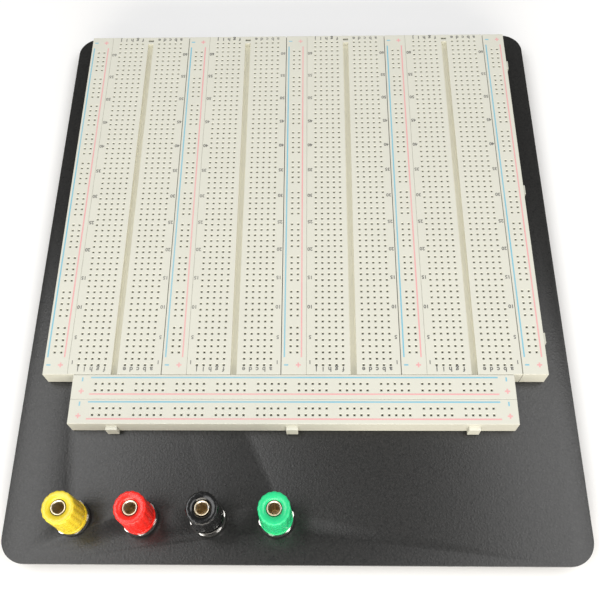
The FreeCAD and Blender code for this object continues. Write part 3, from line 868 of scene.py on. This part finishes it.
def cap_mesh():
    """A cap turned from its profile, with gentle flutes pressed into the barrel."""
    profile = cap_profile()
    count = FLUTES * STEPS_PER_FLUTE
    half_flute = STEPS_PER_FLUTE // 2
    points = []
    for radius, height, share in profile:
        for step in range(count):
            turn = 2 * math.pi * step / count
            off = ((step + half_flute) % STEPS_PER_FLUTE - half_flute) / STEPS_PER_FLUTE
            arc = off * 2 * math.pi * CAP_BARREL / FLUTES
            reach = radius - share * FLUTE_DEPTH * math.exp(-((arc / FLUTE_HALF) ** 2))
            points.append((reach * math.cos(turn) * MM, reach * math.sin(turn) * MM, height * MM))
    faces = []
    for ring in range(len(profile)):
        low, high = ring * count, (ring + 1) % len(profile) * count
        for step in range(count):
            side = (step + 1) % count
            faces.append((low + step, low + side, high + side, high + step))
    mesh = bpy.data.meshes.new("cap")
    mesh.from_pydata(points, [], faces)
    smooth_by_angle(mesh, CAP_SMOOTH_ANGLE)
    return mesh


def colour_socket(mesh, axis_x, axis_y):
    """Gives the faces inside a post's socket the second material, brass painted paler as painted
    light in the deep bore.
    """
    for face in mesh.polygons:
        x, y, z = face.center
        from_axis = math.hypot(x - axis_x, y - axis_y)
        face.material_index = int(from_axis < SOCKET_REACH * MM and z > SOCKET_LOW * MM)


for node, (finish, bevel, segments) in SOFTENED.items():
    refined(node, finish, bevel, segments)
cap_master = cap_mesh()
for colour_name in POST_COLOURS:
    post = colour_name + "_post_"
    cap_body = colour_name + "_cap"
    refined(post + "collar", "insulator", COLLAR_BEVEL)
    body_piece = refined(post + "body", "post", POST_BEVEL)
    body_piece.data.materials.append(materials["socket"])
    low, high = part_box(post + "cap")
    axis_x, axis_y = (low.x + high.x) / 2, (low.y + high.y) / 2
    colour_socket(body_piece.data, axis_x, axis_y)
    refined(post + "clamp_washer", "post", POST_BEVEL, body=colour_name + "_clamp")
    turn = Matrix.Rotation(CAP_TURNS[colour_name], 4, "Z")
    cap_place = Matrix.Translation((axis_x, axis_y, low.z)) @ turn
    piece_name = post + "cap_moulding"
    mesh = placed_mesh(cap_master, piece_name, cap_place)
    slot = cap_body + "_plastic"
    new_piece(piece_name, mesh, slot, cap_body, body=cap_body, replaced=(post + "cap",))

# The finishes of the CAD nodes that stay as they are, by a part of their names.
CARRIED = {"_contacts_": "contact", "_foam_": "foam", "_post_insert": "insert"}
for name, item in frame["nodes"].items():
    for part, finish in CARRIED.items():
        if part in name:
            item.data.materials.clear()
            item.data.materials.append(materials[finish])


# ---------------------------------------------------------------- floor, light and camera

floor_outline = [(x * FLOOR_HALF, y * FLOOR_HALF) for x, y in CORNERS]
floor_mesh = prism_mesh("floor", floor_outline, -FLOOR_THICK, 0)
floor = bpy.data.objects.new("floor", floor_mesh)
bpy.context.scene.collection.objects.link(floor)
floor_look = Nodes("floor_paper")
floor_patches = floor_look.spread(floor_look.noise(8), 0, 1)
floor_look.colour(floor_look.blend(floor_patches, (0.99, 0.99, 0.99), (0.975, 0.975, 0.975)))
floor_look.roughness(floor_look.spread(floor_look.noise(40), 0.85, 0.95))
floor_mesh.materials.append(floor_look.material)


def softbox(name, place, target, size, power, tint=(1.0, 1.0, 1.0)):
    """A soft rectangular light at a place, pointed at a target."""
    light = bpy.data.lights.new(name, "AREA")
    light.shape = "RECTANGLE"
    light.size, light.size_y = size
    light.energy = power
    light.color = tint
    item = bpy.data.objects.new(name, light)
    item.location = place
    item.rotation_euler = (Vector(target) - Vector(place)).to_track_quat("-Z", "Y").to_euler()
    bpy.context.scene.collection.objects.link(item)


for side_name, side in (("left", -1), ("right", 1)):
    softbox(
        name="softbox_" + side_name,
        place=(side * 0.49, -0.18, 0.92),
        target=(side * 0.35, -0.18, 0),
        size=(0.9, 0.5),
        power=5.2,
    )
softbox(
    name="softbox_front",
    place=(0.0, -1.2, 0.42),
    target=(0, 0, 0),
    size=(1.8, 0.5),
    power=18.0,
    tint=(1.0, 0.935, 0.82),
)

world = bpy.data.worlds.new("studio")
world.use_nodes = True
background = world.node_tree.nodes["Background"]
background.inputs["Color"].default_value = (1.0, 1.0, 1.0, 1)
background.inputs["Strength"].default_value = 0.24
bpy.context.scene.world = world

# The camera that was fitted to the grid of holes; its focal length and centre are in pixels.
IMAGE_SIDE = 600
FOCAL_PIXELS = 850.43
CENTRE_PIXELS = (295.0, 255.0)
camera_data = bpy.data.cameras.new("camera")
camera_data.sensor_width = 36.0
camera_data.lens = FOCAL_PIXELS * camera_data.sensor_width / IMAGE_SIDE
camera_data.shift_x = (IMAGE_SIDE / 2 - CENTRE_PIXELS[0]) / IMAGE_SIDE
camera_data.shift_y = (CENTRE_PIXELS[1] - IMAGE_SIDE / 2) / IMAGE_SIDE
camera_data.clip_start = 0.01
camera = bpy.data.objects.new("camera", camera_data)
camera.location = (0.00781, -0.16074, 0.32151)
camera.rotation_euler = [math.radians(angle) for angle in (27.5831, 1.3628, 0.4898)]
bpy.context.scene.collection.objects.link(camera)
bpy.context.scene.camera = camera
bpy.context.scene.view_settings.view_transform = "Standard"
